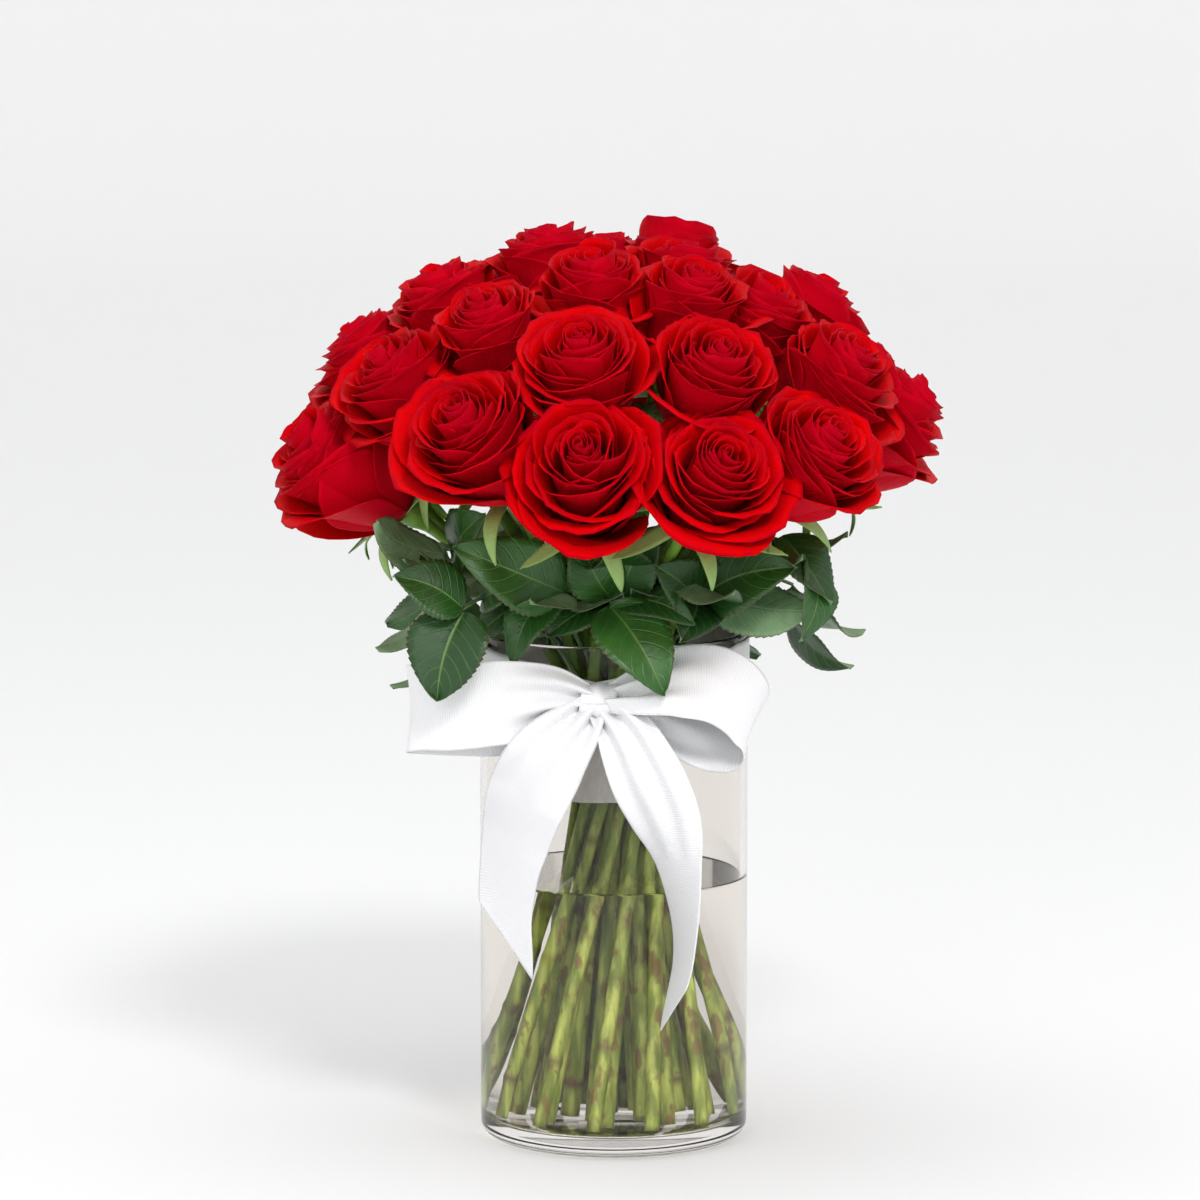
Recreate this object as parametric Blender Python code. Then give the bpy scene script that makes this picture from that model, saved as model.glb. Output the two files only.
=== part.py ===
"""A hand-tied dome of red roses standing in a clear glass cylinder vase with a white ribbon bow.

Metres, +Z up. The origin is the middle of the vase's flat foot, and the bow faces -Y.
"""

import bpy
import bmesh
from math import acos, atan2, cos, pi, radians, sin, sqrt
from mathutils import Vector

MM = 0.001
GAP = 0.3 * MM

# Vase: a straight glass cylinder with a thick bottom
VASE_RADIUS = 60 * MM
VASE_HEIGHT = 230 * MM
VASE_WALL = 3 * MM
VASE_FLOOR = 9 * MM
VASE_FOOT_ROUND = 7 * MM
VASE_INNER_ROUND = 5 * MM
VASE_SIDES = 44
ARC_STEPS = 3

WATER_LEVEL = 119 * MM

# Dome: an ellipsoid that the faces of the roses lie on
DOME_CENTRE_Z = 280 * MM
DOME_RADIUS = 156 * MM
DOME_RISE = 133 * MM

# One row a rose: bearing of its head, in degrees from +X, its elevation on the dome,
# in degrees, and its widest radius in mm. The first twelve are the outer roses, the next
# eight the middle ones, and the last five crown the dome.
ROSES = [
    (-164, 15, 27),
    (-121, 26, 27),
    (-96, 19, 28),
    (-70, 17, 27),
    (-47, 20, 25),
    (-27, 37, 25),
    (-3, 24, 27),
    (30, 18, 29),
    (62, 20, 28),
    (95, 18, 29),
    (128, 20, 28),
    (162, 13, 27),
    (-148, 36, 25),
    (-129, 52, 22),
    (-98, 44, 25),
    (-66, 41, 23),
    (9, 51, 26),
    (69, 53, 27),
    (123, 53, 27),
    (177, 39, 25),
    (-170, 58, 25),
    (-100, 68, 22),
    (-59, 62, 22),
    (45, 74, 26),
    (-176, 78, 25),
]

# Rings that the stems stand in: how many, the radius where the stems are bound, the radius of
# their feet, the bearing of the first stem at the binding, and how far round the head has gone
STEM_RINGS = [
    (12, 15.9 * MM, 48 * MM, -170, 40),
    (8, 10.3 * MM, 33 * MM, -164, 40),
    (5, 4.8 * MM, 15 * MM, -234, 30),
]
BINDING_Z = 170 * MM
STEM_FOOT_RADIUS = 3.2 * MM
STEM_RADIUS = 2.6 * MM
STEM_SIDES = 7
STEM_BENDS = 7
STEM_PULL = 0.36

# The swelling under each flower: distance back from its top, and radius
HIP = [(15 * MM, 2.6 * MM), (10 * MM, 4.4 * MM), (5 * MM, 6.2 * MM), (0.0, 5.4 * MM)]

# Outline of a flower head in widths of its own radius: distance up its axis, and radius
HEAD_OUTLINE = [
    (0.0, 0.23),
    (0.25, 0.54),
    (0.75, 0.86),
    (1.45, 1.0),
    (1.95, 0.9),
    (2.25, 0.5),
]
HEAD_LENGTH = 2.25
HEAD_DIMPLE = 2.1
HEAD_SIDES = 13
HEAD_LOBES = 5
HEAD_LOBE_DEPTH = 0.05
HEAD_SWIRL = 2.5

# Wrap of paper where the stems are bound
WRAP_LOW = 154 * MM
WRAP_HIGH = 186 * MM
WRAP_CLEARANCE = 0.9 * MM
WRAP_THICKNESS = 0.8 * MM
WRAP_SIDES = 28
WRAP_STEPS = 3

# Leaves: bearing in degrees, height of the leaf stalk's start, how far its tip sinks, and size
LEAVES = [
    (-148, 249 * MM, 8 * MM, 1.0),
    (-92, 251 * MM, 3 * MM, 0.9),
    (-36, 249 * MM, 8 * MM, 1.0),
    (22, 250 * MM, 9 * MM, 1.0),
    (84, 250 * MM, 9 * MM, 1.05),
    (149, 251 * MM, 9 * MM, 1.0),
]
STALK_START = 58 * MM
STALK_LENGTH = 50 * MM
STALK_RISE = 9 * MM
STALK_RADIUS = 1.3 * MM
STALK_SIDES = 5
STALK_STEPS = 5
LEAFLET_LENGTH = 42 * MM
LEAFLET_WIDTH = 33 * MM
LEAFLET_THICKNESS = 0.9 * MM
LEAFLET_FOLD = 0.16
LEAFLET_DROOP = 0.16
# Places of the leaflets: share of the stalk, angle from the stalk's direction, and size
LEAFLETS = [(0.97, 2, 1.0), (0.69, 66, 0.85), (0.61, -69, 0.87), (0.12, 104, 0.77), (0.05, -101, 0.74)]

# Ribbon: a band round the vase, a knot in front, two loops and two tails
RIBBON_WIDTH = 38 * MM
RIBBON_THICKNESS = 0.8 * MM
BAND_Z = 207 * MM
BAND_RADIUS = VASE_RADIUS + GAP
BAND_SIDES = 54
BAND_PINCH = 0.4
BAND_PINCH_ANGLE = 32
KNOT = Vector((-7, -67.5, 208)) * MM
KNOT_HALF = Vector((8, 7, 7)) * MM
STRIP_STEPS = 19

# Middle line of each strip with the direction across it, in mm, and the share of the ribbon's
# width that is open there
LEFT_LOOP = [
    ((-9, -74, 209), (0, -0.1, 1), 0.3),
    ((-28, -77, 211), (0, -0.1, 1), 0.7),
    ((-50, -79, 208.5), (0, -0.1, 1), 1),
    ((-72, -76, 206), (0, 0, 1), 1),
    ((-85, -70, 205), (0, 0, 1), 1),
    ((-90, -62, 203), (0, 0, 1), 1),
    ((-85, -55, 201), (0, 0, 1), 1),
    ((-70, -53, 200), (0, 0.1, 1), 1),
    ((-48, -57, 200), (0, 0.1, 1), 0.95),
    ((-28, -62, 203), (0, 0.1, 1), 0.7),
    ((-9, -66, 206), (0, 0, 1), 0.3),
]
RIGHT_LOOP = [
    ((-5, -74, 209), (0.35, 0.62, 0.7), 0.3),
    ((12, -76, 214), (0.35, 0.62, 0.7), 0.65),
    ((28, -77, 217.5), (0.35, 0.62, 0.7), 0.95),
    ((44, -75, 216), (0.35, 0.62, 0.7), 1),
    ((56, -70, 208), (0.35, 0.62, 0.7), 1),
    ((60.5, -65, 198), (0.35, 0.62, 0.7), 1),
    ((56, -61, 191), (0.35, 0.62, 0.7), 1),
    ((45, -59, 192), (0.35, 0.5, 0.7), 1),
    ((31, -62, 197), (0.35, 0.4, 0.7), 0.9),
    ((15, -66, 203), (0.35, 0.3, 0.7), 0.6),
    ((-5, -67, 207), (0.35, 0.2, 0.7), 0.3),
]
LEFT_TAIL = [
    ((-8, -73, 206), (-0.8, 0, 0.6), 0.35),
    ((-17, -80, 198), (-0.85, 0, 0.5), 0.65),
    ((-29, -81, 184), (-0.95, 0.15, 0.2), 0.9),
    ((-39, -69, 164), (-0.8, 0.55, 0), 1),
    ((-45, -53, 142), (-0.68, 0.73, 0), 1),
    ((-48, -43, 118), (-0.62, 0.78, 0), 1),
    ((-48, -42, 96), (-0.62, 0.78, 0), 1),
]
RIGHT_TAIL = [
    ((-6, -74, 205), (0.85, -0.1, 0.5), 0.35),
    ((4, -80, 196), (0.9, -0.15, 0.4), 0.65),
    ((14, -82, 176), (0.93, -0.3, 0.2), 0.85),
    ((22.5, -81, 157), (0.8, -0.55, 0.1), 0.95),
    ((28, -80, 138), (0.55, -0.83, 0), 1),
    ((31, -80, 115), (0.33, -0.94, 0), 1),
    ((30.5, -80, 95), (0.2, -0.98, 0), 1),
    ((26, -80, 72), (0.15, -0.98, 0), 1),
]
TAIL_SLANT = 14 * MM


def clear_scene():
    for thing in list(bpy.data.objects):
        bpy.data.objects.remove(thing)


def material(name, colour, roughness, metallic=0.0, alpha=1.0):
    made = bpy.data.materials.new(name)
    made.use_nodes = True
    shader = made.node_tree.nodes["Principled BSDF"]
    shader.inputs["Base Color"].default_value = (*colour, 1.0)
    shader.inputs["Roughness"].default_value = roughness
    shader.inputs["Metallic"].default_value = metallic
    shader.inputs["Alpha"].default_value = alpha
    return made


def add_object(name, verts, faces, look, sharp_degrees=40):
    """A named object from points and faces, with its faces turned outwards."""
    mesh = bpy.data.meshes.new(name)
    work = bmesh.new()
    made = [work.verts.new(v) for v in verts]
    for face in faces:
        work.faces.new([made[i] for i in face])
    bmesh.ops.recalc_face_normals(work, faces=work.faces)
    bmesh.ops.triangulate(work, faces=work.faces)
    work.to_mesh(mesh)
    work.free()
    mesh.shade_smooth()
    mesh.set_sharp_from_angle(angle=radians(sharp_degrees))
    mesh.materials.append(look)
    thing = bpy.data.objects.new(name, mesh)
    bpy.context.scene.collection.objects.link(thing)
    return thing


def boolean(thing, others, operation):
    """Joins the others to a thing, or cuts them out of it, and removes them."""
    bpy.context.view_layer.objects.active = thing
    for other in others:
        step = thing.modifiers.new(operation.lower(), "BOOLEAN")
        step.operation = operation
        step.solver = "EXACT"
        step.object = other
        bpy.ops.object.modifier_apply(modifier=step.name)
        bpy.data.objects.remove(other)


def rings_to_faces(count, sides, closed_loop=False):
    """Side faces between rings of points, with end caps unless the rings close on themselves."""
    faces = []
    for i in range(count if closed_loop else count - 1):
        low, high = i * sides, (i + 1) % count * sides
        for j in range(sides):
            k = (j + 1) % sides
            faces.append((low + j, low + k, high + k, high + j))
    if not closed_loop:
        faces.append(tuple(range(sides)))
        faces.append(tuple((count - 1) * sides + j for j in range(sides)))
    return faces


def across(direction, hint):
    """The part of hint that is square to direction, one unit long."""
    direction = direction.normalized()
    return (hint - direction * hint.dot(direction)).normalized()


def ring(centre, direction, hint, radius, sides, level=False):
    """Points round a centre, square to a direction, or slid along it onto one level."""
    direction = direction.normalized()
    u = across(direction, hint)
    v = direction.cross(u)
    points = []
    for j in range(sides):
        turn = 2 * pi * j / sides
        p = centre + (u * cos(turn) + v * sin(turn)) * radius
        if level:
            p -= direction * ((p.z - centre.z) / direction.z)
        points.append(p)
    return points


def arc(centre_r, centre_z, radius, start, end, steps=ARC_STEPS):
    """Points (r, z) round a centre, from one angle in degrees to another."""
    turns = [radians(start + (end - start) * i / steps) for i in range(steps + 1)]
    return [(centre_r + radius * cos(t), centre_z + radius * sin(t)) for t in turns]


def turned(name, outline, sides, look):
    """A solid turned about Z from an outline of (r, z) points whose ends lie on the axis."""
    verts = [Vector((0, 0, outline[0][1]))]
    for r, z in outline[1:-1]:
        for j in range(sides):
            turn = 2 * pi * j / sides
            verts.append(Vector((r * cos(turn), r * sin(turn), z)))
    verts.append(Vector((0, 0, outline[-1][1])))
    count = len(outline) - 2
    faces = [tuple(1 + i for i in face) for face in rings_to_faces(count, sides)[:-2]]
    last = len(verts) - 1
    for j in range(sides):
        k = (j + 1) % sides
        faces.append((0, 1 + j, 1 + k))
        faces.append((last, last - sides + j, last - sides + k))
    return add_object(name, verts, faces, look)


def smooth_route(rows, steps):
    """Points, cross directions and widths read from a smooth curve through the given rows."""

    def blend(a, b, c, d, t):
        return 0.5 * (
            2 * b + (c - a) * t + (2 * a - 5 * b + 4 * c - d) * t**2
            + (3 * b - a - 3 * c + d) * t**3
        )

    rows = [(Vector(p) * MM, Vector(side).normalized(), share) for p, side, share in rows]
    route = []
    for i in range(steps + 1):
        place = i / steps * (len(rows) - 1)
        k = min(int(place), len(rows) - 2)
        near = [rows[min(max(k + o, 0), len(rows) - 1)] for o in (-1, 0, 1, 2)]
        route.append([blend(*(row[n] for row in near), place - k) for n in range(3)])
    return route


def strip(name, rows, look, slants=(0.0, 0.0)):
    """A flat ribbon along a route. The slants move the two edges of its last end apart."""
    route = smooth_route(rows, STRIP_STEPS)
    verts = []
    for i, (centre, side, share) in enumerate(route):
        before, after = route[max(i - 1, 0)][0], route[min(i + 1, STRIP_STEPS)][0]
        direction = (after - before).normalized()
        side = across(direction, side)
        normal = direction.cross(side)
        half = RIBBON_WIDTH / 2 * share
        end = 1.0 if i == STRIP_STEPS else 0.0
        for way, slant in ((-1, slants[0]), (1, slants[1])):
            edge = centre + side * half * way + direction * slant * end
            for face in (-way, way):
                verts.append(edge + normal * RIBBON_THICKNESS / 2 * face)
    return add_object(name, verts, rings_to_faces(len(route), 4), look)


def ribbon(look):
    """One ribbon: the band, the knot, two loops and two tails, joined."""
    verts = []
    for j in range(BAND_SIDES):
        turn = 2 * pi * j / BAND_SIDES
        off = abs((turn * 180 / pi + 90 + 180) % 360 - 180)
        pinch = BAND_PINCH + (1 - BAND_PINCH) * min(off / BAND_PINCH_ANGLE, 1.0)
        for r, way in ((0, -1), (1, -1), (1, 1), (0, 1)):
            radius = BAND_RADIUS + r * RIBBON_THICKNESS
            z = BAND_Z + way * RIBBON_WIDTH / 2 * pinch
            verts.append(Vector((radius * cos(turn), radius * sin(turn), z)))
    whole = add_object("ribbon", verts, rings_to_faces(BAND_SIDES, 4, True), look)
    bpy.ops.mesh.primitive_cube_add(size=1, location=KNOT)
    knot = bpy.context.object
    knot.scale = KNOT_HALF * 2
    bpy.ops.object.transform_apply(location=False, scale=True)
    soften = knot.modifiers.new("soft corners", "BEVEL")
    soften.width = 3 * MM
    soften.segments = 2
    bpy.ops.object.modifier_apply(modifier=soften.name)
    loops = [strip("left_loop", LEFT_LOOP, look), strip("right_loop", RIGHT_LOOP, look)]
    tails = [
        strip("left_tail", LEFT_TAIL, look, (TAIL_SLANT, -TAIL_SLANT)),
        strip("right_tail", RIGHT_TAIL, look, (TAIL_SLANT, -TAIL_SLANT)),
    ]
    boolean(whole, [knot, *loops, *tails], "UNION")
    return whole


def vase(look):
    inner = VASE_RADIUS - VASE_WALL
    lip = VASE_WALL / 2
    outline = [(0, 0)]
    outline += arc(VASE_RADIUS - VASE_FOOT_ROUND, VASE_FOOT_ROUND, VASE_FOOT_ROUND, -90, 0)
    outline += arc(VASE_RADIUS - lip, VASE_HEIGHT - lip, lip, 0, 180)
    fillet_r, fillet_z = inner - VASE_INNER_ROUND, VASE_FLOOR + VASE_INNER_ROUND
    outline += arc(fillet_r, fillet_z, VASE_INNER_ROUND, 0, -90)
    outline.append((0, VASE_FLOOR))
    return turned("vase", outline, VASE_SIDES, look)


def water(look, stems):
    """The water inside the vase, with a channel round each stem."""
    inner = VASE_RADIUS - VASE_WALL
    fillet_r, fillet_z = inner - VASE_INNER_ROUND, VASE_FLOOR + VASE_INNER_ROUND
    outline = [(0, VASE_FLOOR + GAP)]
    outline += arc(fillet_r, fillet_z, VASE_INNER_ROUND - GAP, -90, 0)
    outline += [(inner - GAP, WATER_LEVEL), (0, WATER_LEVEL)]
    body = turned("water", outline, VASE_SIDES, look)
    verts, faces = [], []
    clear = GAP / cos(pi / STEM_SIDES)
    for foot, binding in stems:
        line = binding - foot
        for z in (VASE_FLOOR - GAP * 10, WATER_LEVEL + GAP * 10):
            share = (z - foot.z) / line.z
            radius = STEM_FOOT_RADIUS + (STEM_RADIUS - STEM_FOOT_RADIUS) * share + clear
            first = len(verts)
            verts += ring(foot + line * share, line, Vector((1, 0, 0)), radius, STEM_SIDES, True)
        first -= STEM_SIDES
        faces += [tuple(first + i for i in face) for face in rings_to_faces(2, STEM_SIDES)]
    boolean(body, [add_object("channels", verts, faces, look)], "DIFFERENCE")
    return body


def head_place(bearing, elevation, radius):
    """Base of a flower head and the direction that it faces."""
    a, e = radians(bearing), radians(elevation)
    out, up = DOME_RADIUS * cos(e), DOME_RISE * sin(e)
    face = Vector((out * cos(a), out * sin(a), DOME_CENTRE_Z + up))
    lean = atan2(cos(e) / DOME_RADIUS, sin(e) / DOME_RISE)
    axis = Vector((sin(lean) * cos(a), sin(lean) * sin(a), cos(lean)))
    return face - axis * HEAD_LENGTH * radius, axis


def rose_head(name, base, axis, radius, look):
    side = across(axis, Vector((0, 0, 1)) if axis.z < 0.9 else Vector((0, 1, 0)))
    other = axis.cross(side)
    verts = []
    for up, share in HEAD_OUTLINE:
        for j in range(HEAD_SIDES):
            turn = 2 * pi * j / HEAD_SIDES
            lobe = 1 + HEAD_LOBE_DEPTH * (cos(HEAD_LOBES * turn + HEAD_SWIRL * up) - 1) * min(up, 1)
            out = side * cos(turn) + other * sin(turn)
            verts.append(base + axis * up * radius + out * share * radius * lobe)
    faces = rings_to_faces(len(HEAD_OUTLINE), HEAD_SIDES)[:-1]
    verts.append(base + axis * HEAD_DIMPLE * radius)
    last = len(verts) - 1
    for j in range(HEAD_SIDES):
        faces.append((last - HEAD_SIDES + j, last - HEAD_SIDES + (j + 1) % HEAD_SIDES, last))
    return add_object(name, verts, faces, look, 60)


def stem_route(ring_row, index, head_base, axis):
    """Foot and binding of a stem, and the curve from its binding to the flower."""
    count, bound, foot_radius, first, twist = ring_row
    turn = radians(first + 360 / count * index - twist)
    foot_turn = turn - acos(bound / foot_radius)
    foot = Vector((foot_radius * cos(foot_turn), foot_radius * sin(foot_turn), VASE_FLOOR + GAP))
    binding = Vector((bound * cos(turn), bound * sin(turn), BINDING_Z))
    top = head_base - axis * GAP * 1.2
    pull = (top - binding).length * STEM_PULL
    leave = binding + (binding - foot).normalized() * pull
    arrive = top - axis * pull
    curve = []
    for i in range(1, STEM_BENDS):
        t = i / STEM_BENDS
        u = 1 - t
        p = binding * u**3 + leave * 3 * u * u * t + arrive * 3 * u * t * t + top * t**3
        curve.append(p)
    return foot, binding, curve, top


def rose_stem(name, foot, binding, curve, top, axis, look):
    hip = [top - axis * back for back, _ in HIP]
    reach = (hip[0] - top).length
    curve = [p for p in curve if (p - top).length > reach * 1.5]
    line = [foot, binding, *curve, *hip]
    radii = [STEM_FOOT_RADIUS, *[STEM_RADIUS] * (1 + len(curve)), *[r for _, r in HIP]]
    verts = []
    for i, p in enumerate(line):
        if i < 2:
            direction = binding - foot
        elif i > len(curve) + 1:
            direction = axis
        else:
            direction = line[i + 1] - line[i - 1]
        hint = Vector((1, 0, 0)) if i == 0 else hint
        hint = across(direction, hint)
        verts += ring(p, direction, hint, radii[i], STEM_SIDES, i == 0)
    return add_object(name, verts, rings_to_faces(len(line), STEM_SIDES), look, 60)


def stem_wrap(look):
    """The wrap follows the waist that the outer ring of stems makes."""
    _, bound, foot_radius, _, _ = STEM_RINGS[0]
    sweep = (foot_radius**2 - bound**2) / (BINDING_Z - VASE_FLOOR - GAP) ** 2
    rows = [WRAP_LOW + (WRAP_HIGH - WRAP_LOW) * i / WRAP_STEPS for i in range(WRAP_STEPS + 1)]
    waist = [sqrt(bound**2 + sweep * (z - BINDING_Z) ** 2) for z in rows]
    inner = [(r + STEM_RADIUS + WRAP_CLEARANCE, z) for r, z in zip(waist, rows)]
    outer = [(r + WRAP_THICKNESS, z) for r, z in reversed(inner)]
    verts = []
    for j in range(WRAP_SIDES):
        turn = 2 * pi * j / WRAP_SIDES
        verts += [Vector((r * cos(turn), r * sin(turn), z)) for r, z in inner + outer]
    return add_object("stem_wrap", verts, rings_to_faces(WRAP_SIDES, len(inner) * 2, True), look)


def leaflet(start, direction, up, size, look):
    """A pointed oval blade, folded a little along its middle, its tip hanging."""
    side = direction.cross(up).normalized()
    shares = [(0.0, 0.06), (0.2, 0.74), (0.48, 1.0), (0.78, 0.6), (1.0, 0.06)]
    verts = []
    for along, wide in shares:
        middle = start + direction * LEAFLET_LENGTH * size * along
        middle -= up * LEAFLET_DROOP * LEAFLET_LENGTH * size * along**2
        half = LEAFLET_WIDTH / 2 * size * wide
        lift = up * half * LEAFLET_FOLD
        thick = up * LEAFLET_THICKNESS
        verts += [middle - side * half + lift, middle, middle + side * half + lift]
        verts += [middle + side * half + lift - thick, middle - thick, middle - side * half + lift - thick]
    return add_object("leaflet", verts, rings_to_faces(len(shares), 6), look)


def leaf(name, bearing, height, sink, scale, look):
    """A compound leaf: a stalk with one leaflet at its tip and two pairs beside it."""
    a = radians(bearing)
    out = Vector((cos(a), sin(a), 0))
    up = Vector((0, 0, 1))

    def on_stalk(share):
        rise = STALK_RISE * sin(pi * share * 0.7) - sink * share**2
        return out * (STALK_START + STALK_LENGTH * share) + up * (height + rise)

    points = [on_stalk(i / STALK_STEPS) for i in range(STALK_STEPS + 1)]
    verts = []
    for i, p in enumerate(points):
        direction = points[min(i + 1, STALK_STEPS)] - points[max(i - 1, 0)]
        verts += ring(p, direction, up, STALK_RADIUS, STALK_SIDES)
    stalk = add_object(name, verts, rings_to_faces(len(points), STALK_SIDES), look)
    blades = []
    for share, angle, size in LEAFLETS:
        turn = a + radians(angle)
        direction = Vector((cos(turn), sin(turn), -0.12)).normalized()
        start = on_stalk(share) - direction * STALK_RADIUS * 0.6 + up * LEAFLET_THICKNESS / 2
        blades.append(leaflet(start, direction, across(direction, up), size * scale, look))
    boolean(stalk, blades, "UNION")
    return stalk


def build():
    clear_scene()
    petal = material("petal", (0.62, 0.005, 0.012), 0.55)
    green = material("stem", (0.16, 0.30, 0.07), 0.5)
    leaf_green = material("leaf", (0.02, 0.10, 0.02), 0.35)
    glass = material("vase_glass", (0.93, 0.95, 0.94), 0.03, alpha=0.25)
    clear = material("water", (0.90, 0.94, 0.92), 0.03, alpha=0.35)
    satin = material("ribbon", (0.93, 0.93, 0.95), 0.5)
    paper = material("wrap", (0.88, 0.88, 0.86), 0.7)

    stems = []
    ring_rows = [(row, i) for row in STEM_RINGS for i in range(row[0])]
    for number, (rose, (row, index)) in enumerate(zip(ROSES, ring_rows), start=1):
        bearing, elevation, radius = rose
        base, axis = head_place(bearing, elevation, radius * MM)
        foot, binding, curve, top = stem_route(row, index, base, axis)
        rose_head(f"rose_head_{number:02d}", base, axis, radius * MM, petal)
        rose_stem(f"rose_stem_{number:02d}", foot, binding, curve, top, axis, green)
        stems.append((foot, binding))
    for number, leaf_row in enumerate(LEAVES, start=1):
        leaf(f"leaf_{number:02d}", *leaf_row, leaf_green)
    vase(glass)
    water(clear, stems)
    stem_wrap(paper)
    ribbon(satin)


build()
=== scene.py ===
"""Looks of a dome of red roses in a clear glass vase with a white ribbon bow, round its CAD frame.

Metres, +Z up. The origin is the middle of the vase's foot, and the bow faces -Y.
"""

from math import cos, pi, radians, sin

import bpy
import numpy as np
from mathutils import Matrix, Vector


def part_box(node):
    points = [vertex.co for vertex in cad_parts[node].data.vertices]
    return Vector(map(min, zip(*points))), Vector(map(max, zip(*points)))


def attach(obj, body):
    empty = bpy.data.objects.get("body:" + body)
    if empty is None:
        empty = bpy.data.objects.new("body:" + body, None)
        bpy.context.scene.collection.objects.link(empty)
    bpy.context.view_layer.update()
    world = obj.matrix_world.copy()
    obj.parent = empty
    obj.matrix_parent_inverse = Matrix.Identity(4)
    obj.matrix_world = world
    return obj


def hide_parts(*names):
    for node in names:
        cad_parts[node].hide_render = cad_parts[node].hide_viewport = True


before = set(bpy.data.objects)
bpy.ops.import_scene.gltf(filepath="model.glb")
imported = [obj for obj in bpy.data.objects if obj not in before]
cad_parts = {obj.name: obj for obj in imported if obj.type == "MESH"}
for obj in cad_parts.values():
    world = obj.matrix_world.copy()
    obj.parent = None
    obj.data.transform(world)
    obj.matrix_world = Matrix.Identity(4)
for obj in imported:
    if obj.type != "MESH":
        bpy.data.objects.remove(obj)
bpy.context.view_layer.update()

MM = 0.001
UP = np.array([0.0, 0.0, 1.0])

# Camera: its place and how far down it looks, in degrees
CAMERA_AT = (-0.0062, -2.97, 0.66)
CAMERA_DOWN = 8.0
CAMERA_LENS = 201.2
# How far the sweep lies under the vase's foot
SWEEP_DROP = 0.2 * MM

# Petals: one head has this many, each a grid of this many points across and along
PETALS = 25
PETAL_ACROSS = 15
PETAL_ALONG = 16
PETAL_THICKNESS = 0.32 * MM
SEPAL_THICKNESS = 0.55 * MM
GOLDEN_TURN = radians(137.5)
PROFILE_STEPS = 60

# How a petal leans along its length, in degrees from the flower's axis. The rows are places
# along it, as shares of its length, and the columns are petals from the heart to the outside.
LEAN_PLACES = [0.0, 0.22, 0.5, 0.75, 0.92, 1.0]
LEAN_PETALS = [0.0, 0.25, 0.5, 0.75, 1.0, 1.25]
LEAN_CLOSED = np.array([
    [10, 30, 46, 58, 66, 74],
    [5, 15, 25, 31, 34, 42],
    [2, 3, 4, 6, 8, 16],
    [-6, -6, -4, 2, 8, 20],
    [-12, -8, -2, 8, 24, 36],
    [-8, 2, 14, 38, 66, 66],
])
LEAN_OPENED = np.array([
    [0, 0, 0, 2, 4, 4],
    [0, 0, 1, 3, 6, 8],
    [0, 1, 3, 6, 10, 14],
    [2, 8, 12, 18, 26, 26],
    [4, 10, 20, 32, 44, 40],
    [6, 16, 28, 42, 54, 46],
])
# Length of a petal in head lengths, and half its width in head radii, for the same petals
PETAL_LENGTHS = [0.99, 1.0, 1.01, 1.0, 0.97, 1.0]
PETAL_HALF_WIDTHS = [0.28, 0.56, 0.84, 1.1, 1.2, 1.3]
# How far out the inner and the outermost petals reach, in head radii, how many of the
# outermost there are beyond PETALS, and where they stand in the tables above
INNER_REACH = 1.17
OUTER_REACH = 1.34
OUTERMOST = 5
OUTERMOST_ORDER = 1.25
# How much a head that faces sideways turns up to the light
HEAD_LIFT = 0.55

# How far each rose has opened, from 0 to 1, in the order of the CAD's heads
OPENED = [0.6, 0.55, 0.8, 0.85, 0.6, 0.6, 0.7, 0.6, 0.8, 0.5, 0.7, 0.8, 0.6,
          0.5, 0.6, 0.25, 0.6, 0.7, 0.6, 0.5, 0.7, 0.4, 0.35, 0.7, 0.5]

# Roses in the gaps between the CAD's heads: bearing and elevation on the dome in degrees,
# radius in mm, how far opened, and the radius in mm and bearing where the stem stands
DOME_CENTRE = 280 * MM
DOME_RADIUS = 150 * MM
DOME_RISE = 127 * MM
MORE_ROSES = [
    (-28, 58, 23, 0.5, 23, -60), (98, 74, 24, 0.6, 9, 120), (155, 58, 23, 0.5, 24, 110),
    (42, 40, 24, 0.6, 25, 20), (95, 42, 24, 0.5, 24, 60), (150, 36, 24, 0.6, 25, 150),
    (12, 34, 21, 0.4, 24, -20), (-9, 77, 22, 0.5, 8, 0),
]
# Length of a head in its radii
HEAD_LENGTH = 2.25

BINDING = 170 * MM
# The added roses' stems: height of the foot in mm, turn round the axis up to the binding in
# radians, and the share of the foot's distance from the axis that is left there
FOOT_HEIGHT = 12.5
BINDING_TURN = 1.26
BINDING_SHARE = 0.31
STEM_PULL = 0.36
STEM_SIDES = 14
# Radii in mm at the cut end, in the binding and under the flower
STEM_RADII = [3.2, 2.6, 2.5]
# How far along a stem its cut end is kept from the glass
FOOT_CLEAR = 1.2 * MM
HIP_BACK = [0, 2.5, 5, 7.5, 10, 12.5, 15, 19]
HIP_RADII = [5.6, 6.1, 6.2, 5.5, 4.4, 3.3, 2.8, 2.6]


# ---------- meshes

def unit(v):
    v = np.asarray(v, float)
    return v / np.maximum(np.linalg.norm(v, axis=-1, keepdims=True), 1e-12)


def square_to(direction, hint):
    """The part of hint that is square to direction, one unit long."""
    direction = unit(direction)
    return unit(hint - direction * np.sum(hint * direction, axis=-1, keepdims=True))


def new_mesh(name, verts, faces, material):
    mesh = bpy.data.meshes.new(name)
    mesh.from_pydata(verts.tolist(), [], faces)
    mesh.materials.append(material)
    mesh.shade_smooth()
    return mesh


def new_object(name, data):
    made = bpy.data.objects.new(name, data)
    bpy.context.scene.collection.objects.link(made)
    return made


def outward(bearing):
    """The level direction with this bearing, in radians."""
    return np.array([cos(bearing), sin(bearing), 0.0])


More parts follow.
